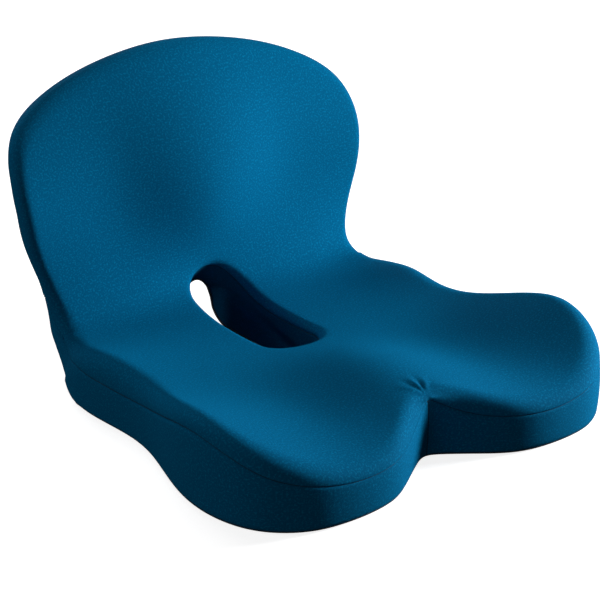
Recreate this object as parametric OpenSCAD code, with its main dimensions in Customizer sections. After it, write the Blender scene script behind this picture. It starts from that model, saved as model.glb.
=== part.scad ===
// One-piece seat cushion: a dished seat with a tailbone slot, joined through a foam corner to a
// curved lumbar back. The frame's origin is under the middle of the cushion, on the surface that it
// rests on: +X is the sitter's left-to-right width, +Y runs back towards the lumbar rest, +Z is up.

/* [Cushion] */
// Width across the thigh bolsters
seat_w = 450; // [420:5:480]
// Depth from the front of the thigh lobes to the top of the back
overall_d = 495; // [485:1:505]
// Steps between two points of the outline
steps = 2; // [1:1:3]

/* [Tailbone slot] */
// Half width of the slot
slot_r = 32; // [30:1:34]
// Where the slot's front round is centred, measured back from the front notch
slot_front = 218; // [210:1:225]

/* [Cover] */
// Thickness of the knit cover and of the base fabric
cover_t = 1.6; // [1.2:0.1:2]
// Space between the cover and the foam
foam_gap = 0.3; // [0.2:0.1:0.5]

/* [Flexing corner] */
// Distance of the flex line behind the front notch
flex_y = 355; // [350:1:358]
// Height of the flex line
flex_z = 50; // [46:1:54]
// Gap in the top cover that closes when the back folds forwards
top_gap = 6; // [5.5:0.5:7]
// Gap in the base cover that closes when the back reclines
base_gap = 10; // [9:0.5:11]

/* [Zip] */
// Height of the zip on the rear face
zip_z = 115; // [112:1:120]
// Length of the rows of teeth
zip_len = 270; // [240:10:280]
// Distance from one tooth to the next
tooth_pitch = 2.5; // [2:0.1:4]
// Width of one tape
tape_w = 11; // [9:1:12]
// Length of the pull tab
pull_len = 26; // [20:1:28]

/* [Hidden] */

knit = [0.02, 0.27, 0.41];
charcoal = [0.09, 0.1, 0.12];
foam = [0.93, 0.9, 0.78];
wide = seat_w / 450;          // the tables below are for a seat 450 wide
notch_y = 52 - overall_d / 2; // the tables measure back from the front notch
column = 50;                  // spacing of the tables' columns, outwards from the middle
first_row = -100;
row_pitch = 50;

// Height of the seat's top, one row for each 50 of depth from first_row, one column for each 50
// of half width. The pommel is the middle of the first rows, and the bolster is the last column.
seat_rows = [
    [60, 50, 44, 48, 66],
    [66, 56, 50, 54, 72],
    [74, 62, 53, 60, 80],
    [80, 66, 55, 64, 88],
    [76, 65, 55, 63, 81],
    [62, 57, 53, 58, 71],
    [49, 50, 52, 58, 69],
    [47, 48, 51, 59, 74],
    [47, 49, 51, 55, 60]];
// The inside of the corner: depth, then height
corner_y = [371, 358, 348, 348, 356];
corner_z = [66, 64, 59, 58, 62];
// Depth of the back's front face, one row for each 50 of height from back_z
back_z = 125;
back_rows = [
    [345, 357, 364, 362, 362],
    [339, 350, 367, 365, 358],
    [350, 357, 372, 373, 372],
    [384, 389, 398, 403, 408],
    [436, 438, 440, 444, 448],
    [490, 490, 490, 492, 494],
    [540, 540, 540, 542, 544]];
// Half outline of the seat from the notch to the corner: half width, depth, height of the top seam,
// and the matching station of the base
seat_edge = [
    [0, 2, 60, 2], [18, -6, 52, -6], [42, -23, 43, -23], [72, -42, 40, -42], [106, -50, 39, -50],
    [140, -50, 41, -50], [171, -43, 46, -43], [199, -24, 54, -24], [217, 4, 66, 4],
    [225, 40, 75, 40], [223, 80, 72, 80], [213, 122, 60, 122], [203, 160, 49, 160],
    [199, 195, 43, 195], [201, 230, 42, 230], [204, 264, 43, 264], [203, 292, 45, 296],
    [198, 310, 45, 338], [193, 327 - top_gap, 49, 385 - base_gap]];
// Half outline of the back from the corner to the top: half width, station of the front face,
// depth of the front edge's round, station of the rear face
back_edge = [
    [191, 327, 11, 385], [189, 346, 13, 405], [190, 364, 14, 424],
    [198, 391, 13, 449], [208, 422, 12, 480], [213, 455, 11, 512], [214, 485, 11, 542],
    [208, 512, 11, 569], [192, 533, 11, 590], [163, 551, 11, 608], [122, 567, 11, 624],
    [66, 580, 11, 637], [0, 586, 11, 643]];
// Profile under the corner, at the middle and at the flanks: station, depth and height
under_mid_y = [[348, 348], [366, 365], [382, 380], [392, 387], [400, 388]];
under_mid_z = [[348, 0], [366, 1], [382, 9], [392, 18], [400, 24], [450, 118]];
under_side_y = [[296, 296], [308, 308], [324, 320], [344, 331], [388, 361], [420, 382], [450, 388]];
under_side_z = [[296, 0], [308, 1], [324, 8], [344, 24], [388, 56], [420, 86], [450, 118]];
rear_rise = 332;              // station of the rear face less its height
lean = [[0, 388], [180, 388], [210, 394], [240, 409], [270, 430], [300, 444], [330, 452]];
slot_top_rear = 328;          // centre of the slot's rear round on the top
slot_base_rear = 385;         // and on the base, where the slot runs out through the corner

// Cubic blend of four neighbours, a fraction f of the way from the second to the third
function blend(a, b, c, d, f) = (pow(1 - f, 3) * a + (3 * pow(f, 3) - 6 * f * f + 4) * b
    + (1 + 3 * f + 3 * f * f - 3 * pow(f, 3)) * c + pow(f, 3) * d) / 6;
function cell(row, k) = k < 0 ? row[-k] : k < 5 ? row[k] : row[4] + (k - 4) * (row[4] - row[3]);
function across(row, x) = let (u = abs(x) / column, k = floor(u))
    blend(cell(row, k - 1), cell(row, k), cell(row, k + 1), cell(row, k + 2), u - k);
function control(k, x) = k < 9 ? [first_row + row_pitch * k, across(seat_rows[k], x)]
    : k == 9 ? [across(corner_y, x), across(corner_z, x)]
    : [across(back_rows[k - 10], x), back_z + row_pitch * (k - 10)];
function over(x, v) = let (u = (v - first_row) / row_pitch, k = floor(u))
    blend(control(max(0, k - 1), x), control(k, x), control(k + 1, x), control(k + 2, x), u - k);
function ease(f) = let (c = min(1, max(0, f))) c * c * (3 - 2 * c);
function mix(a, b, f) = a + (b - a) * f;
// The face underneath, from the floor round the corner and up the rear
function under(x, v) = let (f = pow(min(1, abs(x) / 200), 4), z = v - rear_rise)
    v > 450 ? [lookup(z, lean), z]
    : v < 296 ? [v, 0]
    : [mix(v < 348 ? v : lookup(v, under_mid_y), lookup(v, under_side_y), f),
        mix(lookup(v, under_mid_z), lookup(v, under_side_z), f)];
// Direction in which each face's edges turn, in depth and height
function into(v, start, end) = let (a = 90 * ease((v - start) / (end - start))) [sin(a), -cos(a)];

// Outline points: a smooth curve through a list, where side mirrors it
function before(list, k) = k > 0 ? list[k - 1]
    : list[0][0] == 0 ? [-list[1][0], list[1][1], list[1][2], list[1][3]] : 2 * list[0] - list[1];
function after(list, k) = k < len(list) ? list[k]
    : list[len(list) - 1][0] == 0 ? let (p = list[len(list) - 2]) [-p[0], p[1], p[2], p[3]]
    : 2 * list[len(list) - 1] - list[len(list) - 2];
function curve(list, t) = let (k = min(len(list) - 2, floor(t)), f = t - k, p = before(list, k),
        q = list[k], r = list[k + 1], s = after(list, k + 2))
    q + 0.5 * f * (r - p + f * (2 * p - 5 * q + 4 * r - s + f * (3 * (q - r) + s - p)));

// One edge's round: angles over which it turns
turn = [90, 60, 30, 0];
short_turn = [90, 45, 0];
// A line of points from the slot to the outline: [half width, station, drop]
function line(c, o, inner_w, inner_d, outer_w, outer_d, inner_turn, outer_turn, middle) =
    let (d = [o[0], o[1] - c], len = norm(d) + (o[1] < 330 ? fullness : 0), e = d / norm(d),
        start = slot_r + inner_w, end = len - outer_w)
    [for (a = inner_turn) let (s = start - inner_w * sin(a)) [e[0] * s, c + e[1] * s, inner_d * (1 - cos(a))],
     for (k = [1:middle]) let (s = mix(start, end, k / (middle + 1))) [e[0] * s, c + e[1] * s, 0],
     for (k = [len(outer_turn) - 1:-1:0]) let (a = outer_turn[k], s = end + outer_w * sin(a))
        [e[0] * s, c + e[1] * s, outer_d * (1 - cos(a))]];
function drop_over(p) = let (q = over(p[0], p[1]) + p[2] * into(p[1], 300, 380)) [p[0], q[0], q[1]];
function drop_under(p) = let (q = under(p[0], p[1]) - p[2] * into(p[1], 330, 430)) [p[0], q[0], q[1]];
function place(p, side) = [side * wide * p[0], p[1] + notch_y, p[2]];
fullness = 2;                 // the cover bulges past the outline of the tables
seat_round = 22;
back_round = 13;
base_round = 3;
rim_round = 9;
// One closed section of the cushion: over the top from the slot, down the flank, under and up the slot
function section(e, side, in_seat) = let (
        depth = in_seat ? over(e[0], e[1])[1] - e[2] : e[2],
        width = mix(seat_round, back_round, ease((e[1] - 280) / 120)),
        under_w = mix(base_round, 11, ease((e[3] - 385) / 60)),
        top = [for (p = line(min(slot_top_rear, max(slot_front, e[1])), e, rim_round, rim_round,
            width, depth, short_turn, turn, 4)) drop_over(p)],
        base = [for (p = line(min(slot_base_rear, max(slot_front, e[3])), [e[0], e[3]], base_round,
            base_round, under_w, under_w, short_turn, short_turn, 3)) drop_under(p)],
        all = concat(top, [(top[10] + base[8]) / 2], [for (k = [8:-1:0]) base[k]],
            [(top[0] + base[0]) / 2]))
    [for (p = all) place(p, side)];
size = 22;
seat_n = steps * (len(seat_edge) - 1);
back_n = steps * (len(back_edge) - 1);
seat = [for (k = [-seat_n:seat_n]) section(curve(seat_edge, abs(k) / steps), k < 0 ? -1 : 1, true)];
back = [for (k = [-back_n:back_n])
    section(curve(back_edge, (back_n - abs(k)) / steps), k < 0 ? 1 : -1, false)];

// Unit normal at a point of a list of sections, and the point moved inwards
function normal(g, i, j) = let (a = g[min(len(g) - 1, i + 1)][j] - g[max(0, i - 1)][j],
        b = g[i][(j + 1) % size] - g[i][(j + size - 1) % size], n = cross(b, a)) n / norm(n);
function inset(g, d) = [for (i = [0:len(g) - 1]) [for (j = [0:size - 1]) g[i][j] - d * normal(g, i, j)]];
seat_in = inset(seat, cover_t);
back_in = inset(back, cover_t);

// Thin panel over sections a to b and section points p to q
module panel(g, g_in, a, b, p, q) {
    w = q - p + 1;
    outer = [for (i = [a:b]) for (j = [p:q]) g[i][j % size]];
    inner = [for (i = [a:b]) for (j = [p:q]) g_in[i][j % size]];
    m = len(outer);
    n = b - a;
    function id(i, j) = i * w + j;
    faces = [
        for (i = [0:n - 1]) for (j = [0:w - 2]) each [
            [id(i, j), id(i + 1, j), id(i + 1, j + 1)], [id(i, j), id(i + 1, j + 1), id(i, j + 1)],
            [m + id(i, j), m + id(i + 1, j + 1), m + id(i + 1, j)],
            [m + id(i, j), m + id(i, j + 1), m + id(i + 1, j + 1)]],
        for (i = [0:n - 1]) each [
            [id(i, 0), m + id(i, 0), m + id(i + 1, 0)], [id(i, 0), m + id(i + 1, 0), id(i + 1, 0)],
            [id(i, w - 1), m + id(i + 1, w - 1), m + id(i, w - 1)],
            [id(i, w - 1), id(i + 1, w - 1), m + id(i + 1, w - 1)]],
        for (j = [0:w - 2]) each [
            [id(0, j), m + id(0, j + 1), m + id(0, j)], [id(0, j), id(0, j + 1), m + id(0, j + 1)],
            [id(n, j), m + id(n, j), m + id(n, j + 1)], [id(n, j), m + id(n, j + 1), id(n, j + 1)]]];
    polyhedron(concat(outer, inner), faces);
}

// Foam block through every section, whose two cut ends come to a ridge at the flex line. Towards
// the flanks the ridge leaves that line for the middle of the foam.
under_of = [for (j = [0:10]) 20 - round(j * 0.8)];
function ridge(s, j, shift) = let (f = pow(j / 10, 3), base = s[under_of[j]])
    [s[j][0], mix(flex_y + notch_y + shift, (s[j][1] + base[1]) / 2, f),
        mix(flex_z, (s[j][2] + base[2]) / 2, f)];
function cut(s, shift) = [for (k = [0:size - 1]) k == size - 1 ? ridge(s, 0, shift) : s[k]];
module block(g, shift) {
    n = len(g) - 1;
    points = [for (i = [0:n]) each i == 0 || i == n ? cut(g[i], shift) : g[i]];
    ends = [for (i = [0, n]) for (j = [1:9]) ridge(g[i], j, shift)];
    function id(i, j) = i * size + j % size;
    function on_ridge(i, j) = j == 0 ? id(i, 21) : j == 10 ? id(i, 11)
        : len(points) + (i == 0 ? 0 : 9) + j - 1;
    function cap(i) = [
        for (j = [0:9]) each let (p = on_ridge(i, j), q = on_ridge(i, j + 1), u = id(i, under_of[j]),
            w = id(i, under_of[j + 1])) concat(
                [[id(i, j), id(i, j + 1), q], [id(i, j), q, p], [p, q, w]], u == w ? [] : [[p, w, u]])];
    faces = [
        for (i = [0:n - 1]) for (j = [0:size - 1]) each [
            [id(i, j), id(i + 1, j), id(i + 1, j + 1)], [id(i, j), id(i + 1, j + 1), id(i, j + 1)]],
        each cap(0),
        for (f = cap(n)) [f[0], f[2], f[1]]];
    polyhedron(concat(points, ends), faces);
}

ridge_gap = 0.7;
module seat_foam() { color(foam) block(inset(seat, cover_t + foam_gap), -ridge_gap); }
module back_foam() { color(foam) block(inset(back, cover_t + foam_gap), ridge_gap); }
module seat_top_panel() { color(knit) panel(seat, seat_in, 0, 2 * seat_n, 0, 10); }
module left_side_band() { color(knit) panel(seat, seat_in, 0, seat_n, 10, 12); }
module right_side_band() { color(knit) panel(seat, seat_in, seat_n, 2 * seat_n, 10, 12); }
module base_panel() { color(charcoal) panel(seat, seat_in, 0, 2 * seat_n, 12, 20); }
module seat_slot_lining() { color(knit * 0.6) panel(seat, seat_in, 0, 2 * seat_n, 20, 22); }
module back_front_panel() { color(knit) panel(back, back_in, 0, 2 * back_n, 0, 14); }
module back_slot_lining() { color(knit * 0.6) panel(back, back_in, 0, 2 * back_n, 20, 22); }

rear_y = lookup(zip_z, lean) + notch_y;   // outside of the flat rear face
tape_t = 0.9;
tape_y = rear_y - 1.2;        // inside face of the tapes
tooth_l = 2.6;
tooth_t = 1.8;
zip_gap = 1.1;                // clear way between the rows for the slider's divider
zip_end = zip_len / 2;
window_w = zip_len + 20;
window_h = 2 * tape_w + 3;
module rear_panel() {
    color(charcoal) difference() {
        panel(back, back_in, 0, 2 * back_n, 14, 20);
        translate([-window_w / 2, rear_y - 10, zip_z - window_h / 2]) cube([window_w, 20, window_h]);
    }
}
module zip_tape() {
    translate([-window_w / 2 + 0.5, tape_y, 1.2]) cube([window_w - 1, tape_t, tape_w]);
}
module upper_zip_tape() { color("black") translate([0, 0, zip_z]) zip_tape(); }
module lower_zip_tape() { color("black") translate([0, 0, zip_z]) mirror([0, 0, 1]) zip_tape(); }
// A comb of teeth with a joined back, standing on a tape
module zip_teeth() {
    count = floor(zip_len / tooth_pitch);
    half = tooth_pitch * 0.3;
    comb = [[-zip_end, tooth_l + zip_gap / 2], for (k = [0:count - 1])
        let (x = -zip_end + (k + 0.5) * tooth_pitch) each [[x - half, tooth_l * 0.7], [x - half, zip_gap / 2],
            [x + half, zip_gap / 2], [x + half, tooth_l * 0.7]], [zip_end, tooth_l + zip_gap / 2]];
    translate([0, tape_y + tape_t + tooth_t, 0]) rotate([90, 0, 0])
        linear_extrude(tooth_t) polygon(comb);
}
module upper_zip_teeth() { color("dimgray") translate([0, 0, zip_z]) zip_teeth(); }
module lower_zip_teeth() { color("dimgray") translate([0, 0, zip_z]) mirror([0, 0, 1]) zip_teeth(); }
module zip_stops() {
    color("dimgray") for (side = [-1, 1])
        translate([side * (zip_end + 2), tape_y + tape_t + tooth_t / 2, zip_z])
            cube([2.6, tooth_t, 2 * tooth_l + 2], center = true);
}
module care_label() {
    color("white") translate([-window_w / 2 - 32, rear_y + 0.25, zip_z]) cube([22, 0.5, 36]);
}

// The slider: a face plate, two flanges and a divider over the teeth, with a bridge for the pull
slider_x = zip_end - 12;      // rest place, at the closed end
slider_l = 11;
slider_h = 9;
plate_t = 1;
front_y = tape_y + tape_t + tooth_t + 0.3;
pull_y = front_y + plate_t + 1.6;
pin_r = 0.7;
module zip_slider() {
    color("dimgray") translate([slider_x, 0, zip_z]) {
        translate([-slider_l / 2, front_y, -slider_h / 2]) cube([slider_l, plate_t, slider_h]);
        for (side = [-1, 1]) translate([-slider_l / 2, front_y - 0.9, side * (slider_h / 2 - 0.4) - 0.4])
            cube([slider_l, 1, 0.8]);
        translate([-slider_l / 2, tape_y + tape_t + 0.4, -0.25]) cube([3, front_y - tape_y - tape_t, 0.5]);
        for (side = [-1, 1]) translate([side * 2.4 - 0.5, front_y + plate_t - 0.1, -2])
            cube([1, 3, 4]);
        translate([-2.9, pull_y, 0]) rotate([0, 90, 0]) cylinder(r = pin_r, h = 5.8, $fn = 32);
    }
}
// The pull tab: an eye on the slider's pin, a neck and a rounded grip, hanging at rest
module zip_pull() {
    color("dimgray") translate([slider_x, pull_y, zip_z]) difference() {
        union() {
            rotate([0, 90, 0]) translate([0, 0, -1.6]) cylinder(r = 1.5, h = 3.2, $fn = 32);
            translate([-1.6, -0.6, -8]) cube([3.2, 1.2, 8]);
            translate([0, 0.6, 0]) rotate([90, 0, 0]) linear_extrude(1.2) hull() {
                translate([0, -9]) circle(r = 2.4, $fn = 32);
                translate([0, 3.2 - pull_len]) circle(r = 3.2, $fn = 32);
            }
        }
        rotate([0, 90, 0]) translate([0, 0, -3]) cylinder(r = pin_r + 0.15, h = 6, $fn = 32);
    }
}

seat_foam();
seat_top_panel();
left_side_band();
right_side_band();
seat_slot_lining();
base_panel();
back_foam();
back_front_panel();
back_slot_lining();
rear_panel();
upper_zip_tape();
lower_zip_tape();
upper_zip_teeth();
lower_zip_teeth();
zip_stops();
care_label();
zip_slider();
zip_pull();
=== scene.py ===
"""Looks of a one-piece foam seat cushion: a knit cover over a dished seat, a tailbone slot and a
lumbar back, with a charcoal non-slip base and rear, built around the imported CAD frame."""
import math

import bmesh
import bpy
import numpy as np
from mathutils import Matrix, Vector


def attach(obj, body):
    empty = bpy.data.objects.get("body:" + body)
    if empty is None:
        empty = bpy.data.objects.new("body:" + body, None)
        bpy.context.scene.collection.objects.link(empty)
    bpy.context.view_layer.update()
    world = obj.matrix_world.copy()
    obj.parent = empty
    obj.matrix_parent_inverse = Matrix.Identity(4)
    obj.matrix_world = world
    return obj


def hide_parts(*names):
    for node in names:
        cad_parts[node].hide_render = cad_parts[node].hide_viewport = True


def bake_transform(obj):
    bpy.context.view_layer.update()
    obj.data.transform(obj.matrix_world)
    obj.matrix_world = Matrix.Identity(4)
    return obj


MM = 0.001
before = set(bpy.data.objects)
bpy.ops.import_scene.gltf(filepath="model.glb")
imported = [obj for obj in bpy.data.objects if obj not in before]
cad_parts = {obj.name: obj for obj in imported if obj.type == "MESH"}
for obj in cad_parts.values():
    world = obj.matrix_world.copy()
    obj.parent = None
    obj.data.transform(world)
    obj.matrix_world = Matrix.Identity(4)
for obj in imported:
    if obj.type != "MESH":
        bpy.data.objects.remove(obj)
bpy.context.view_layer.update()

# ---------------------------------------------------------------- shape of the cushion, in mm
# Depths are counted back from the front notch, as in the CAD model. NOTCH_Y brings them to the frame.
NOTCH_Y = -195.5
SLOT_R = 32
SLOT_LOW_R = 21      # the lining pads the lower opening
SLOT_FRONT = 218
SLOT_TOP_REAR = 328
SLOT_BASE_REAR = 385
COLUMN = 50
ROW = 50
FIRST_ROW = -100
SEAT_ROWS = [
    [60, 50, 44, 48, 66],
    [66, 56, 50, 54, 72],
    [74, 62, 53, 60, 80],
    [80, 66, 55, 64, 88],
    [76, 65, 55, 63, 81],
    [62, 57, 53, 58, 71],
    [49, 50, 52, 58, 69],
    [47, 48, 51, 59, 74],
    [47, 49, 51, 55, 60],
]
CORNER_Y = [371, 358, 348, 348, 356]
CORNER_Z = [66, 64, 59, 58, 62]
BACK_Z = 125
BACK_ROWS = [
    [345, 357, 364, 362, 362],
    [339, 350, 367, 365, 358],
    [350, 357, 372, 373, 372],
    [384, 389, 398, 403, 408],
    [436, 438, 440, 444, 448],
    [490, 490, 490, 492, 494],
    [540, 540, 540, 542, 544],
]
# Outline: half width, station of the top, station of the base, and the seam's height on the seat
SEAT_EDGE = [
    [0, 2, 2, 60], [18, -6, -6, 52], [42, -23, -23, 43], [72, -42, -42, 40], [106, -50, -50, 39],
    [140, -50, -50, 41], [171, -43, -43, 46], [199, -24, -24, 54], [217, 4, 4, 66],
    [225, 40, 40, 75], [223, 80, 80, 72], [213, 122, 122, 60], [203, 160, 160, 49],
    [199, 195, 195, 43], [201, 230, 230, 42], [204, 264, 264, 43], [203, 292, 296, 45],
    [198, 310, 338, 45],
]
# and the depth of the round on the back
BACK_EDGE = [
    [192, 325, 385, 11], [189, 346, 405, 13], [190, 364, 424, 14], [198, 391, 449, 13],
    [208, 422, 480, 12], [213, 455, 512, 11], [214, 485, 542, 11], [208, 512, 569, 11],
    [192, 533, 590, 11], [163, 551, 608, 11], [122, 567, 624, 11], [66, 580, 637, 11],
    [0, 586, 643, 11],
]
UNDER_MID = [[348, 348, 0], [366, 365, 1], [382, 380, 9], [392, 387, 18], [400, 388, 24], [450, 388, 118]]
UNDER_SIDE = [[296, 296, 0], [308, 308, 1], [324, 320, 8], [344, 331, 24], [388, 361, 56],
    [420, 382, 86], [450, 388, 118]]
REAR_RISE = 332
LEAN = [[0, 388], [180, 388], [210, 394], [240, 409], [270, 430], [300, 444], [330, 452]]
SEAT_ROUND = 22
BACK_ROUND = 13
BASE_ROUND = 3
RIM_ROUND = 9
FULLNESS = 2
FULL_BEFORE = 330       # the seat's edge has fullness, the back's has none
REAR_ROUND = 11
BAND_SWELL = 0.03       # of the band's height
EDGE_CROWD = 1.6        # draws the rows together towards a seam
TOP_ROUND_CHANGE = (280, 120)   # from this station, over this length
REAR_ROUND_CHANGE = (385, 60)
TOP_TURN = (300, 380)   # stations between which an edge turns from down to back
BASE_TURN = (330, 430)
DOT_RISE = 0.7


def cell(row, k):
    """Column k of a row, mirrored at the middle and run on straight past the last column."""
    k = abs(k)
    return row[k] if k < 5 else row[4] + (k - 4) * (row[4] - row[3])


def control(k):
    """Row k of the top's control net: depths and heights at columns -1 to 7."""
    k = max(0, k)
    columns = range(-1, 8)
    if k < 9:
        return [[FIRST_ROW + ROW * k, cell(SEAT_ROWS[k], c)] for c in columns]
    if k == 9:
        return [[cell(CORNER_Y, c), cell(CORNER_Z, c)] for c in columns]
    return [[cell(BACK_ROWS[k - 10], c), BACK_Z + ROW * (k - 10)] for c in columns]


NET = np.array([control(k) for k in range(-1, 17)], float)


def weights(f):
    """Cubic B-spline weights of four neighbours, a fraction f past the second."""
    return np.stack([(1 - f) ** 3, 3 * f**3 - 6 * f**2 + 4, 1 + 3 * f + 3 * f**2 - 3 * f**3, f**3]) / 6


def over(x, v):
    """Depth and height of the top at half width x and station v."""
    u, w = np.abs(x) / COLUMN, (v - FIRST_ROW) / ROW
    i, j = np.floor(u).astype(int), np.floor(w).astype(int)
    across, along = weights(u - i), weights(w - j)
    total = 0
    for a in range(4):
        for b in range(4):
            total = total + (across[a] * along[b])[..., None] * NET[j + b, i + a]
    return total


def ease(f):
    """A smooth rise from 0 to 1."""
    c = np.clip(f, 0, 1)
    return c * c * (3 - 2 * c)


def smooth_lookup(v, table, column):
    """A table read with its corners eased over a few millimetres."""
    t = np.array(table, float)
    spread = np.linspace(-7, 7, 9)
    return np.mean([np.interp(v + s, t[:, 0], t[:, column]) for s in spread], axis=0)


def under(x, v):
    """Depth and height of the face underneath and behind at half width x and station v."""
    f = np.minimum(1, np.abs(x) / 200) ** 4
    mid_y = np.where(v < 340, v, smooth_lookup(v, UNDER_MID, 1))
    side_y = np.where(v < 289, v, smooth_lookup(v, UNDER_SIDE, 1))
    mid_z, side_z = smooth_lookup(v, UNDER_MID, 2), smooth_lookup(v, UNDER_SIDE, 2)
    y, z = mid_y + (side_y - mid_y) * f, mid_z + (side_z - mid_z) * f
    rear = smooth_lookup(v - REAR_RISE, LEAN, 1)
    up = ease((v - 440) / 10)
    return np.stack([y + (rear - y) * up, z + (v - REAR_RISE - z) * up], -1)


def into(v, start, end):
    """Direction, in depth and height, in which a face's edge turns at station v."""
    a = np.pi / 2 * ease((v - start) / (end - start))
    return np.stack([np.sin(a), -np.cos(a)], -1)


def closed_spline(points, per):
    """A smooth closed curve through points, with per samples to each."""
    n = len(points)
    system = np.eye(n) * 4 + np.roll(np.eye(n), 1, 0) + np.roll(np.eye(n), -1, 0)
    slope = np.linalg.solve(system, 3 * (np.roll(points, -1, 0) - np.roll(points, 1, 0)))
    f = (np.arange(per) / per)[None, :, None]
    p, q = points[:, None], np.roll(points, -1, 0)[:, None]
    s, t = slope[:, None], np.roll(slope, -1, 0)[:, None]
    curve = (p * (2 * f**3 - 3 * f**2 + 1) + s * (f**3 - 2 * f**2 + f)
        + q * (3 * f**2 - 2 * f**3) + t * (f**3 - f**2))
    return curve.reshape(n * per, -1)


PER = 12


def outline():
    """The whole outline: half width, two stations and the depth of the edge's round."""
    half = []
    for x, v, base, seam in SEAT_EDGE:
        half.append([x, v, base, float(over(np.array(x), np.array(v))[1]) - seam])
    half += BACK_EDGE
    mirror = [[-p[0], *p[1:]] for p in half[-2:0:-1]]
    return closed_spline(np.array(half + mirror, float), PER)


STEPS_TOP = (5, 30, 12)
STEPS_BASE = (3, 16, 5)


def fan(c, edge, radius, inner, outer, drop, steps):
    """Lines from the slot to the outline: points, how far along, and how far each one drops."""
    full = np.where(edge[:, 1] < FULL_BEFORE, FULLNESS, 0)
    d = np.stack([edge[:, 0], edge[:, 1] - c], -1)
    length = np.linalg.norm(d, axis=1)
    e = d / length[:, None]
    length = length + full
    a = np.linspace(1, 0, steps[0] + 1)[:-1, None] * np.pi / 2
    b = (1 - np.linspace(1, 0, steps[2] + 1)[1:, None] ** EDGE_CROWD) * np.pi / 2
    m = np.linspace(0, 1, steps[1] + 1)[:, None]
    start, end = radius + inner, length - outer
    s = np.concatenate([
        start - inner * np.sin(a) + 0 * end, start + (end - start) * m, end + outer * np.sin(b)])
    fall = np.concatenate([
        inner * (1 - np.cos(a)) + 0 * end, 0 * m * end, drop * (1 - np.cos(b))])
    points = np.stack([e[:, 0] * s, c + e[:, 1] * s], -1)
    return points.transpose(1, 0, 2), fall.T


EDGE = outline()
STATIONS = len(EDGE)
TOP_N = sum(STEPS_TOP) + 1
BASE_N = sum(STEPS_BASE) + 1
WALL_N = 9
SLOT_N = 15


def strip(a, b, n, swell):
    """n points strictly between two lines, bowed towards swell."""
    f = (0.5 - 0.5 * np.cos(np.pi * np.arange(1, n + 1) / (n + 1)))[None, :, None]
    return a[:, None] * (1 - f) + b[:, None] * f + swell[:, None] * np.sin(np.pi * f) ** 0.8


def sections():
    """Every point of the skin, station by station: top, flank, base and slot wall."""
    x, v, base, depth = EDGE.T
    to_back = ease((v - TOP_ROUND_CHANGE[0]) / TOP_ROUND_CHANGE[1])
    round_top = SEAT_ROUND + (BACK_ROUND - SEAT_ROUND) * to_back
    centre = np.clip(v, SLOT_FRONT, SLOT_TOP_REAR)
    p, fall = fan(centre, np.stack([x, v], -1), SLOT_R, RIM_ROUND, round_top, depth, STEPS_TOP)
    q = over(p[..., 0], p[..., 1]) + fall[..., None] * into(p[..., 1], *TOP_TURN)
    top = np.concatenate([p[..., :1], q], -1)
    to_rear = ease((base - REAR_ROUND_CHANGE[0]) / REAR_ROUND_CHANGE[1])
    round_base = BASE_ROUND + (REAR_ROUND - BASE_ROUND) * to_rear
    centre = np.clip(base, SLOT_FRONT, SLOT_BASE_REAR + SLOT_R - SLOT_LOW_R)
    p, fall = fan(centre, np.stack([x, base], -1), SLOT_LOW_R, BASE_ROUND, round_base, round_base,
        STEPS_BASE)
    q = under(p[..., 0], p[..., 1]) - fall[..., None] * into(p[..., 1], *BASE_TURN)
    low = np.concatenate([p[..., :1], q], -1)
    out = np.gradient(np.concatenate([top[-1:, -1], top[:, -1], top[:1, -1]]), axis=0)[1:-1]
    out = np.stack([out[:, 1], -out[:, 0], 0 * x], -1)
    out = out / (np.linalg.norm(out, axis=1)[:, None] + 1e-9)
    tall = np.linalg.norm(top[:, -1] - low[:, -1], axis=1)[:, None]
    flank = strip(top[:, -1], low[:, -1], WALL_N, out * tall * BAND_SWELL)
    wall = strip(low[:, 0], top[:, 0], SLOT_N, out * 0)
    skin = np.concatenate([top, flank, low[:, ::-1], wall], 1)
    skin[..., 1] += NOTCH_Y
    return skin


SKIN = sections()
SECTION_N = SKIN.shape[1]
END_TOP = TOP_N - 1
END_FLANK = TOP_N + WALL_N
END_BASE = END_FLANK + BASE_N - 1
END_WRAP = END_FLANK + STEPS_BASE[2]


def skin_normals(skin):
    """Outward directions of the skin at every point."""
    along = np.roll(skin, -1, 0) - np.roll(skin, 1, 0)
    around = np.roll(skin, -1, 1) - np.roll(skin, 1, 1)
    n = np.cross(around, along)
    return n / (np.linalg.norm(n, axis=-1)[..., None] + 1e-9)


NORMALS = skin_normals(SKIN)

# ---------------------------------------------------------------- small shapes of the cloth
SEAM_DEPTH = 1.1
TUCK = 2.5
PUCKER_R = 34
PUCKER_RISE = 1.1
PUCKER_RING = 13        # the gathers are strongest this far from the notch
PUCKER_WIDTH = 11
PUCKER_WAVES = 9
PUCKER_TURN = 0.9
CREASE = [[-20, 6], [60, 20], [190, 46]]
CREASE_DEPTH = 3.5
CREASE_W = 3.5
CREASE_FADE = 12        # half width within which the crease dies out at the slot's two ends


def puckers(points):
    """Outward shift of the top cloth gathered at the notch."""
    dx, dy = points[..., 0], points[..., 1] - NOTCH_Y - 2
    r, turn = np.hypot(dx, dy), np.arctan2(dx, dy)
    gather = np.exp(-((r - PUCKER_RING) / PUCKER_WIDTH) ** 2) * np.cos(PUCKER_WAVES * turn + PUCKER_TURN)
    return PUCKER_RISE * gather * (r < PUCKER_R)


def wall_crease(points):
    """Inward shift of the slot's lining along its sunk joining line."""
    line = np.array(CREASE, float)
    off = points[..., 2] - np.interp(points[..., 1], line[:, 0], line[:, 1])
    side = ease(np.abs(points[..., 0]) / CREASE_FADE - 1)
    return -CREASE_DEPTH * np.exp(-(off / CREASE_W) ** 2) * side


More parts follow.
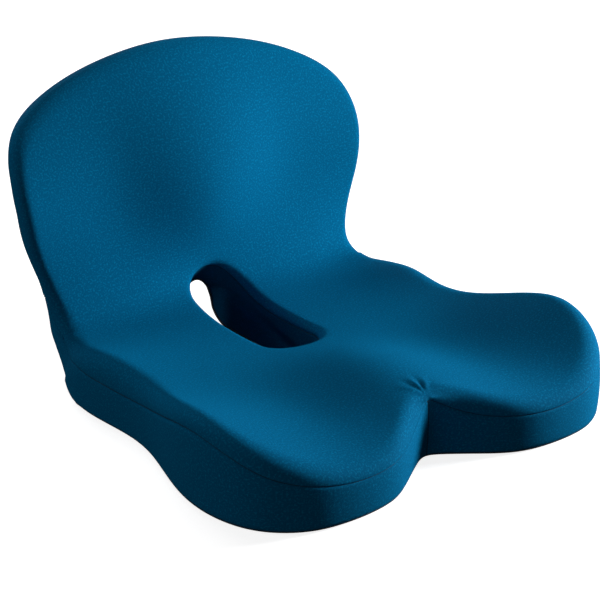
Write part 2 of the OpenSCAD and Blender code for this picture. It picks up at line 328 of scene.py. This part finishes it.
SHAPED = SKIN.copy()
top_zone = slice(0, END_TOP + 1)
SHAPED[:, top_zone] += NORMALS[:, top_zone] * puckers(SKIN[:, top_zone])[..., None]
wall_zone = slice(END_BASE + 1, SECTION_N)
SHAPED[:, wall_zone] += NORMALS[:, wall_zone] * wall_crease(SKIN[:, wall_zone])[..., None]


# ---------------------------------------------------------------- mesh building
def make_object(name, vertices, faces, smooth=True):
    mesh = bpy.data.meshes.new(name)
    mesh.from_pydata([tuple(v) for v in np.asarray(vertices) * MM], [], faces)
    mesh.validate()
    mesh.polygons.foreach_set("use_smooth", [smooth] * len(mesh.polygons))
    mesh.update()
    o = bpy.data.objects.new(name, mesh)
    bpy.context.scene.collection.objects.link(o)
    return o


def box_uv(o):
    """Lays the weave flat on each face from the side it looks to, in millimetres."""
    mesh = o.data
    layer = mesh.uv_layers.new(name="weave") if not mesh.uv_layers else mesh.uv_layers[0]
    co = np.empty(len(mesh.vertices) * 3)
    mesh.vertices.foreach_get("co", co)
    co = co.reshape(-1, 3) / MM
    uv = np.empty((len(mesh.loops), 2))
    for p in mesh.polygons:
        n = [abs(c) for c in p.normal]
        pick = (1, 2) if n[0] > max(n[1], n[2]) else (0, 1) if n[2] > n[1] else (0, 2)
        for k in p.loop_indices:
            uv[k] = co[mesh.loops[k].vertex_index][list(pick)]
    layer.data.foreach_set("uv", uv.ravel())


def cloth_panel(name, chosen, sink=0.0):
    """The chosen quads of the skin as one cloth, its borders drawn into the seams and tucked in."""
    quads = np.argwhere(chosen)
    ids, vertices, normals, faces = {}, [], [], []

    def vertex(i, j):
        key = (i % STATIONS, j % SECTION_N)
        if key not in ids:
            ids[key] = len(vertices)
            vertices.append(SHAPED[key] - NORMALS[key] * sink)
            normals.append(NORMALS[key])
        return ids[key]

    edges = []
    for i, j in quads:
        face = [vertex(i, j), vertex(i + 1, j), vertex(i + 1, j + 1), vertex(i, j + 1)]
        face.reverse()
        faces.append(face)
        edges += zip(face, face[1:] + face[:1])
    known = set(edges)
    border = [(a, b) for a, b in edges if (b, a) not in known]
    rim = {v for e in border for v in e}
    vertices, normals = np.array(vertices), np.array(normals)
    tucked = {}
    extra = []
    for v in sorted(rim):
        vertices[v] -= normals[v] * SEAM_DEPTH
        tucked[v] = len(vertices) + len(extra)
        extra.append(vertices[v] - normals[v] * TUCK)
    faces += [[b, a, tucked[a], tucked[b]] for a, b in border]
    o = make_object(name, np.concatenate([vertices, np.array(extra)]), faces)
    box_uv(o)
    return o


def tube(name, path, radius, sides=6, closed=True):
    """A thread or trim along a path of points."""
    p = np.array(path, float)
    along = np.roll(p, -1, 0) - np.roll(p, 1, 0)
    if not closed:
        along[0], along[-1] = p[1] - p[0], p[-1] - p[-2]
    along /= np.linalg.norm(along, axis=1)[:, None] + 1e-9
    side = np.cross(along, [0.31, 0.22, 0.92])
    side /= np.linalg.norm(side, axis=1)[:, None] + 1e-9
    up = np.cross(side, along)
    a = np.arange(sides) * 2 * np.pi / sides
    ring = (p[:, None] + radius * (np.cos(a)[None, :, None] * side[:, None]
        + np.sin(a)[None, :, None] * up[:, None]))
    n = len(p)
    faces = [[i * sides + k, i * sides + (k + 1) % sides, (i + 1) % n * sides + (k + 1) % sides,
        (i + 1) % n * sides + k] for i in range(n if closed else n - 1) for k in range(sides)]
    if not closed:
        faces += [list(range(sides)), [(n - 1) * sides + k for k in range(sides)][::-1]]
    o = make_object(name, ring.reshape(-1, 3), faces)
    box_uv(o)
    return o


def skin_path(stations, rows, sink):
    """Points on the skin, sunk along its normal."""
    return [SHAPED[i % STATIONS, j] - NORMALS[i % STATIONS, j] * sink for i, j in zip(stations, rows)]


SPLIT = 20 * PER
FAR = STATIONS - SPLIT
station = np.arange(STATIONS)[:, None]
section = np.arange(SECTION_N)[None, :]
all_round = station >= 0
on_back = (station >= SPLIT) & (station < FAR)
on_top = section < END_TOP
on_flank = (section >= END_TOP) & (section < END_FLANK)
on_wrap = (section >= END_FLANK) & (section < END_WRAP)
on_base = (section >= END_WRAP) & (section < END_BASE)
on_wall = section >= END_BASE

top_cover = cloth_panel("top_cover", on_top | (on_back & (on_flank | on_wrap)))
right_band = cloth_panel("right_band", on_flank & (station < SPLIT))
left_band = cloth_panel("left_band", on_flank & (station >= FAR))
slot_lining = cloth_panel("slot_lining", on_wall & all_round)
base_cover = cloth_panel("base_cover", (on_base & all_round) | (on_wrap & ~on_back), DOT_RISE)

# ---------------------------------------------------------------- zip window in the rear
ZIP_Z = 115
WINDOW_X = 145
WINDOW_H = 12.5
HEM = 1.6
REAR_FROM = 185         # only the rear face lies further back than this
NEAR_FROM = 180
NEAR_H = 60


def number_by_place(bm, mesh):
    """Writes bm to mesh with points and faces in order of place, so that every run is alike."""
    corners = sorted(bm.verts, key=lambda v: tuple(v.co))
    number = {v: k for k, v in enumerate(corners)}
    faces = []
    for f in bm.faces:
        ids = [number[v] for v in f.verts]
        first = ids.index(min(ids))
        faces.append((ids[first:] + ids[:first], f.smooth))
    faces.sort()
    mesh.clear_geometry()
    mesh.from_pydata([tuple(v.co) for v in corners], [], [ids for ids, _ in faces])
    mesh.polygons.foreach_set("use_smooth", [smooth for _, smooth in faces])
    mesh.update()


def cut_window(o):
    """Cuts the zip's window out of the rear face and folds its edges in."""
    bm = bmesh.new()
    bm.from_mesh(o.data)
    planes = [((x, 0, 0), (1, 0, 0)) for x in (-WINDOW_X, WINDOW_X)]
    planes += [((0, 0, z), (0, 0, 1)) for z in (ZIP_Z - WINDOW_H, ZIP_Z + WINDOW_H)]
    for point, normal in planes:
        near = [f for f in bm.faces if f.calc_center_median().y > NEAR_FROM * MM
            and abs(f.calc_center_median().z - ZIP_Z * MM) < NEAR_H * MM]
        edges = (e for f in near for e in f.edges)
        corners = (v for f in near for v in f.verts)
        geometry = list(dict.fromkeys([*near, *edges, *corners]))
        bmesh.ops.bisect_plane(bm, geom=geometry, plane_co=[c * MM for c in point], plane_no=normal)
    inside = [f for f in bm.faces if f.calc_center_median().y > REAR_FROM * MM
        and abs(f.calc_center_median().x) < WINDOW_X * MM
        and abs(f.calc_center_median().z - ZIP_Z * MM) < WINDOW_H * MM]
    bmesh.ops.delete(bm, geom=inside, context="FACES")
    rim = [e for e in bm.edges if e.is_boundary
        and all(v.co.y > REAR_FROM * MM and abs(v.co.x) < (WINDOW_X + 1) * MM
            and abs(v.co.z - ZIP_Z * MM) < (WINDOW_H + 1) * MM for v in e.verts)]
    folded = bmesh.ops.extrude_edge_only(bm, edges=rim)["geom"]
    for v in folded:
        if isinstance(v, bmesh.types.BMVert):
            v.co.y -= HEM * MM
    number_by_place(bm, o.data)
    bm.free()
    box_uv(o)


cut_window(base_cover)

# ---------------------------------------------------------------- foam under the cover
FOAM_SINK = 5.5
FOAM_STEP = 6


def foam_block():
    """The foam core as one closed form inside the cover."""
    rows = [*range(0, END_TOP, 5), END_TOP - 1, END_TOP + 5, *range(END_WRAP, END_BASE, 4), END_BASE - 1,
        END_BASE + 6]
    skin = (SKIN - NORMALS * FOAM_SINK)[::FOAM_STEP][:, rows]
    n, m = skin.shape[:2]
    faces = [[i * m + j, i * m + (j + 1) % m, (i + 1) % n * m + (j + 1) % m, (i + 1) % n * m + j]
        for i in range(n) for j in range(m)]
    o = make_object("foam_core", skin.reshape(-1, 3), faces)
    box_uv(o)
    return o


foam_core = foam_block()

# ---------------------------------------------------------------- seams and trim
THREAD_R = 0.55
THREAD_SINK = SEAM_DEPTH - 0.25
TRIM_R = 1.5
front_stations = list(range(-SPLIT, SPLIT + 1))
back_stations = list(range(SPLIT + 1, FAR))
down = list(range(END_TOP + 1, END_WRAP + 1))
edge_seam = tube("edge_seam", skin_path(
    front_stations + [SPLIT] * len(down) + back_stations + [FAR] * len(down),
    [END_TOP] * len(front_stations) + down + [END_WRAP] * len(back_stations) + down[::-1],
    THREAD_SINK), THREAD_R)
base_seam = tube("base_seam", skin_path(
    front_stations, [END_FLANK] * len(front_stations), THREAD_SINK), THREAD_R, closed=False)
notch_rows = list(range(END_TOP, END_FLANK + 1))
notch_seam = tube("notch_seam", skin_path([0] * len(notch_rows), notch_rows, THREAD_SINK),
    THREAD_R, closed=False)
slot_trim = tube("slot_trim", skin_path(range(STATIONS), [END_BASE + 1] * STATIONS, 0.2), TRIM_R, 8)
rim_seam = tube("rim_seam", skin_path(range(STATIONS), [0] * STATIONS, THREAD_SINK), THREAD_R)

# ---------------------------------------------------------------- grip dots
DOT_PITCH = 9
DOT_R = 1.7
DOT_EDGE = 9
DOT_SIDES = 8
DOT_ROW = 0.87          # of the pitch: rows of a triangular pattern
DOT_SPAN = 234
DOT_STATIONS = (-60, 640)
SLOT_CLEAR = 7
WINDOW_CLEAR = 4
LABEL_W = 36
LABEL_SPAN = (-3, 40)   # heights over the zip kept free for the label
CORNER_SPAN = (330, 440)    # stations of the bent corner, which has no dots


def inside(points, ring, margin):
    """Which points are in a closed ring by more than a margin."""
    a, b = ring, np.roll(ring, -1, 0)
    x, y = points[:, :1], points[:, 1:]
    crosses = (a[:, 1] > y) != (b[:, 1] > y)
    at = a[:, 0] + (y - a[:, 1]) * (b[:, 0] - a[:, 0]) / (b[:, 1] - a[:, 1] + 1e-9)
    odd = (crosses & (x < at)).sum(1) % 2 == 1
    gap = np.hypot(x - a[:, 0], y - a[:, 1]).min(1)
    return odd & (gap > margin)


def dot_places():
    """Where the dots sit: points on the base and rear with their outward directions."""
    rows = np.arange(*DOT_STATIONS, DOT_PITCH * DOT_ROW)
    grid = [(x + (r % 2) * DOT_PITCH / 2, v) for r, v in enumerate(rows)
        for x in np.arange(-DOT_SPAN, DOT_SPAN, DOT_PITCH)]
    g = np.array(grid)
    keep = inside(g, EDGE[::3][:, [0, 2]], DOT_EDGE)
    slot_y = np.clip(g[:, 1], SLOT_FRONT, SLOT_BASE_REAR)
    keep &= np.hypot(g[:, 0], g[:, 1] - slot_y) > SLOT_R + SLOT_CLEAR
    z = g[:, 1] - REAR_RISE
    window = (np.abs(g[:, 0]) < WINDOW_X + WINDOW_CLEAR) & (np.abs(z - ZIP_Z) < WINDOW_H + WINDOW_CLEAR)
    label = (g[:, 0] < -WINDOW_X) & (g[:, 0] > -WINDOW_X - LABEL_W)
    label &= (z > ZIP_Z + LABEL_SPAN[0]) & (z < ZIP_Z + LABEL_SPAN[1])
    keep &= ~window & ~label
    keep &= (g[:, 1] < CORNER_SPAN[0]) | (g[:, 1] > CORNER_SPAN[1])
    g = g[keep]
    p = np.concatenate([g[:, :1], under(g[:, 0], g[:, 1])], 1)
    step = np.concatenate([g[:, :1], under(g[:, 0], g[:, 1] + 1)], 1) - p
    n = np.cross([1.0, 0, 0], step)
    n /= -np.linalg.norm(n, axis=1)[:, None]
    p[:, 1] += NOTCH_Y
    return p, n


def dots():
    """All the dots as one piece: low domes whose tops reach the skin."""
    places, normals = dot_places()
    a = np.arange(DOT_SIDES) * 2 * np.pi / DOT_SIDES
    vertices, faces = [], []
    for p, n in zip(places, normals):
        first = len(vertices)
        up = np.cross(n, [1.0, 0, 0])
        for r, h in ((DOT_R, -0.1 - DOT_RISE), (0.7 * DOT_R, -0.25 * DOT_RISE)):
            vertices += [p + r * (np.cos(t) * np.array([1.0, 0, 0]) + np.sin(t) * up) + h * n for t in a]
        vertices.append(p)
        for k in range(DOT_SIDES):
            m = (k + 1) % DOT_SIDES
            faces.append([first + k, first + m, first + DOT_SIDES + m, first + DOT_SIDES + k])
            faces.append([first + DOT_SIDES + k, first + DOT_SIDES + m, first + 2 * DOT_SIDES])
    o = make_object("grip_dots", vertices, faces)
    box_uv(o)
    return o


grip_dots = dots()

# ---------------------------------------------------------------- materials


class Nodes:
    """A material's node tree, built a call at a time."""

    def __init__(self, name):
        self.material = bpy.data.materials.new(name)
        self.material.use_nodes = True
        self.tree = self.material.node_tree
        self.shader = self.tree.nodes["Principled BSDF"]

    def add(self, kind, inputs=(), **settings):
        node = self.tree.nodes.new(kind)
        for key, value in settings.items():
            setattr(node, key, value)
        for key, value in dict(inputs).items():
            self.put(node.inputs[key], value)
        return node

    def put(self, socket, value):
        if isinstance(value, bpy.types.NodeSocket):
            self.tree.links.new(value, socket)
        else:
            socket.default_value = value

    def math(self, operation, a, b=0.0, clamp=False):
        node = self.add("ShaderNodeMath", {0: a, 1: b}, operation=operation, use_clamp=clamp)
        return node.outputs[0]

    def noise(self, scale, detail=2.0, vector=None):
        inputs = {"Scale": scale, "Detail": detail}
        if vector is not None:
            inputs["Vector"] = vector
        return self.add("ShaderNodeTexNoise", inputs).outputs["Fac"]

    def spread(self, value, low, high, to_low=0.0, to_high=1.0):
        node = self.add("ShaderNodeMapRange", {"Value": value, "From Min": low, "From Max": high,
            "To Min": to_low, "To Max": to_high})
        return node.outputs[0]

    def mix(self, factor, a, b):
        node = self.add("ShaderNodeMix", data_type="RGBA")
        for socket, value in ((node.inputs[0], factor), (node.inputs[6], a), (node.inputs[7], b)):
            self.put(socket, value)
        return node.outputs[2]

    def weave_xy(self):
        uv = self.add("ShaderNodeUVMap", uv_map="weave").outputs[0]
        parts = self.add("ShaderNodeSeparateXYZ", {0: uv})
        return uv, parts.outputs[0], parts.outputs[1]

    def solid(self):
        return self.add("ShaderNodeTexCoord").outputs["Object"]

    def bump(self, height, strength, distance):
        node = self.add("ShaderNodeBump", {"Height": height, "Strength": strength, "Distance": distance})
        self.put(self.shader.inputs["Normal"], node.outputs[0])


TURN = 6.283


def colour(r, g, b):
    return (r, g, b, 1.0)


def knit(name, base, fleck, sheen, heather=0.45, wale=1.3, course=1.0):
    """A jersey knit: columns of small V stitches, light heather flecks and soft shade changes."""
    m = Nodes(name)
    uv, u, v = m.weave_xy()
    across = m.math("ABSOLUTE", m.math("SUBTRACT", m.math("FRACT", m.math("DIVIDE", u, wale)), 0.5))
    stitch = m.math("SINE", m.math("MULTIPLY", m.math("ADD", m.math("DIVIDE", v, course), across), TURN))
    ridge = m.math("MULTIPLY", m.math("ADD", stitch, 1.6), m.math("SUBTRACT", 0.75, across))
    flecks = m.spread(m.noise(0.55, 3.0, uv), 0.5, 0.72)
    drift = m.noise(7.0, 3.0, m.solid())
    streak = m.noise(0.12, 2.0, uv)
    shade = m.math("ADD", m.spread(drift, 0.3, 0.7, -0.05, 0.05), m.spread(streak, 0.3, 0.7, -0.04, 0.04))
    dark = tuple(0.72 * c for c in base[:3]) + (1.0,)
    body = m.mix(m.math("ADD", m.spread(ridge, 0.2, 1.6, 0.5, 0.95), shade, True), dark, base)
    m.put(m.shader.inputs["Base Color"], m.mix(m.math("MULTIPLY", flecks, heather), body, fleck))
    m.put(m.shader.inputs["Roughness"], m.spread(ridge, 0.2, 1.6, 0.92, 0.74))
    m.shader.inputs["Sheen Weight"].default_value = sheen
    m.shader.inputs["Sheen Roughness"].default_value = 0.35
    m.shader.inputs["Sheen Tint"].default_value = fleck
    m.shader.inputs["Specular IOR Level"].default_value = 0.03
    m.shader.inputs["Specular Tint"].default_value = fleck
    m.bump(m.math("ADD", ridge, m.math("MULTIPLY", flecks, 0.5)), 0.35, 0.0003)
    return m.material


def woven(name, base, light, pitch=0.8, bump=0.4, sheen=0.1, dots=0.15):
    """A plain weave: crossing threads with a little dust and wear."""
    m = Nodes(name)
    uv, u, v = m.weave_xy()
    warp = m.math("SINE", m.math("MULTIPLY", u, TURN / pitch))
    weft = m.math("SINE", m.math("MULTIPLY", v, TURN / pitch))
    threads = m.math("MULTIPLY", warp, weft)
    dust = m.spread(m.noise(25.0, 4.0, m.solid()), 0.45, 0.75)
    amount = m.math("ADD", m.spread(threads, -1, 1, 0, 0.35), m.math("MULTIPLY", dust, dots), True)
    m.put(m.shader.inputs["Base Color"], m.mix(amount, base, light))
    m.put(m.shader.inputs["Roughness"], m.spread(dust, 0, 1, 0.78, 0.95))
    m.shader.inputs["Sheen Weight"].default_value = sheen
    m.shader.inputs["Specular IOR Level"].default_value = 0.25
    m.bump(threads, bump, 0.00025)
    return m.material


def hard(name, base, light, rough, metal=0.0, scale=60.0):
    """Moulded plastic or lacquered metal with fine grain and rubbed high spots."""
    m = Nodes(name)
    grain = m.noise(scale * 12, 2.0, m.solid())
    rub = m.spread(m.noise(scale, 4.0, m.solid()), 0.52, 0.7)
    m.put(m.shader.inputs["Base Color"], m.mix(m.math("MULTIPLY", rub, 0.5), base, light))
    m.put(m.shader.inputs["Roughness"], m.spread(grain, 0.3, 0.7, rough - 0.08, rough + 0.1))
    m.shader.inputs["Metallic"].default_value = metal
    m.bump(grain, 0.15, 0.0001)
    return m.material


def foam_material(name):
    """Open-cell foam with a slightly uneven tone."""
    m = Nodes(name)
    cells = m.add("ShaderNodeTexVoronoi", {"Vector": m.solid(), "Scale": 700.0}).outputs["Distance"]
    tone = m.noise(18.0, 3.0, m.solid())
    m.put(m.shader.inputs["Base Color"], m.mix(tone, colour(0.85, 0.8, 0.62), colour(0.94, 0.91, 0.8)))
    m.shader.inputs["Roughness"].default_value = 0.9
    m.bump(cells, 0.5, 0.0005)
    return m.material


TEAL = colour(0.0004, 0.11, 0.25)
TEAL_FLECK = colour(0.002, 0.29, 0.55)
KNIT = knit("knit_teal", TEAL, TEAL_FLECK, 0.18)
# the slot's lining: the teal knit's colour darkened to about half with painted shade, for the shadow
# inside the slot
LINING_PAINTED_SHADE = knit("knit_lining_painted_shade", colour(0.0008, 0.06, 0.14), colour(0.02, 0.2, 0.36), 0.08, 0.2)
CHARCOAL = woven("base_charcoal", colour(0.032, 0.033, 0.038), colour(0.11, 0.112, 0.12))
TRIM = woven("trim_speckled", colour(0.01, 0.01, 0.012), colour(0.3, 0.3, 0.31), 1.1, 0.5, 0.0, 0.5)
THREAD = woven("seam_thread", colour(0.0008, 0.03, 0.07), colour(0.004, 0.09, 0.17), 1.2, 0.5, 0.0)
DOTS = hard("grip_rubber", colour(0.012, 0.012, 0.014), colour(0.05, 0.05, 0.055), 0.55, 0.0, 30.0)
TAPE = woven("zip_tape", colour(0.01, 0.01, 0.012), colour(0.05, 0.05, 0.056), 1.0, 0.5)
TEETH = hard("zip_teeth", colour(0.02, 0.02, 0.022), colour(0.1, 0.1, 0.11), 0.4)
METAL = hard("zip_lacquer", colour(0.015, 0.015, 0.017), colour(0.25, 0.25, 0.26), 0.3, 0.8)
LABEL = woven("label_woven", colour(0.62, 0.61, 0.58), colour(0.84, 0.83, 0.8), 0.7, 0.5, 0.0)
FOAM = foam_material("foam_cells")


def paint(o, material):
    o.data.materials.clear()
    o.data.materials.append(material)


# ---------------------------------------------------------------- what each piece is and rides on
for o, material, slot_name in (
        (top_cover, KNIT, "knit"), (left_band, KNIT, "knit"), (right_band, KNIT, "knit"),
        (slot_lining, LINING_PAINTED_SHADE, "lining"), (base_cover, CHARCOAL, "base_fabric"),
        (foam_core, FOAM, "foam"), (edge_seam, THREAD, "knit"), (base_seam, THREAD, "knit"),
        (notch_seam, THREAD, "knit"), (rim_seam, THREAD, "lining"), (slot_trim, TRIM, "lining"),
        (grip_dots, DOTS, "base_fabric")):
    paint(o, material)
    if o is notch_seam:
        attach(o, "seat")
    else:
        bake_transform(o)

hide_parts("seat_top_panel", "back_front_panel")
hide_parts("left_side_band")
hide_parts("right_side_band")
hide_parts("seat_slot_lining", "back_slot_lining")
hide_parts("base_panel", "rear_panel")
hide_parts("seat_foam", "back_foam")

for node, material in (
        ("upper_zip_tape", TAPE), ("lower_zip_tape", TAPE), ("upper_zip_teeth", TEETH),
        ("lower_zip_teeth", TEETH), ("zip_stops", METAL), ("zip_slider", METAL), ("zip_pull", METAL),
        ("care_label", LABEL)):
    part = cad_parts[node]
    if part.material_slots:
        for held in part.material_slots:
            held.material = material
    else:
        part.data.materials.append(material)

# ---------------------------------------------------------------- camera, floor and light
camera_data = bpy.data.cameras.new("camera")
camera_data.lens = 108
camera_data.sensor_width = 36
camera = bpy.data.objects.new("camera", camera_data)
camera.location = (-1.0017, -1.3185, 0.7950)
camera.rotation_euler = (math.radians(67.1), 0, math.radians(-37.2))
bpy.context.scene.collection.objects.link(camera)
bpy.context.scene.camera = camera

FLOOR_HALF = 30000
floor = make_object("floor", [(-FLOOR_HALF, -FLOOR_HALF, -0.4), (FLOOR_HALF, -FLOOR_HALF, -0.4),
    (FLOOR_HALF, FLOOR_HALF, -0.4), (-FLOOR_HALF, FLOOR_HALF, -0.4)], [[0, 1, 2, 3]], False)
pale = Nodes("floor_pale")
pale.shader.inputs["Base Color"].default_value = colour(0.6, 0.6, 0.6)
pale.shader.inputs["Roughness"].default_value = 0.9
pale.shader.inputs["Emission Color"].default_value = colour(1.0, 1.0, 1.0)
pale.shader.inputs["Emission Strength"].default_value = 0.85
paint(floor, pale.material)
floor.visible_diffuse = False
floor.visible_glossy = False


def soft_light(name, place, target, size, power, tint=(1.0, 1.0, 1.0)):
    data = bpy.data.lights.new(name, "AREA")
    data.shape = "DISK"
    data.size = size
    data.energy = power
    data.color = tint
    o = bpy.data.objects.new(name, data)
    o.location = place
    o.visible_camera = False
    aim = Vector(target) - Vector(place)
    o.rotation_euler = aim.to_track_quat("-Z", "Y").to_euler()
    bpy.context.scene.collection.objects.link(o)


MIDDLE = (0.0, 0.0, 0.12)
soft_light("key", (1.3, -0.61, 0.42), MIDDLE, 0.4, 38)
soft_light("top", (0.1, 1.1, 2.2), MIDDLE, 1.2, 13)
soft_light("front", (-1.9, -1.3, 0.3), MIDDLE, 1.0, 4)
soft_light("rim", (-1.9, 1.3, 0.9), MIDDLE, 0.8, 8)
soft_light("behind", (0.5, 2.6, 1.0), MIDDLE, 1.4, 22)

world = bpy.data.worlds.new("studio")
world.use_nodes = True
world.node_tree.nodes["Background"].inputs["Color"].default_value = colour(1.0, 1.0, 1.0)
world.node_tree.nodes["Background"].inputs["Strength"].default_value = 0.035
bpy.context.scene.world = world
bpy.context.scene.view_settings.view_transform = "Standard"
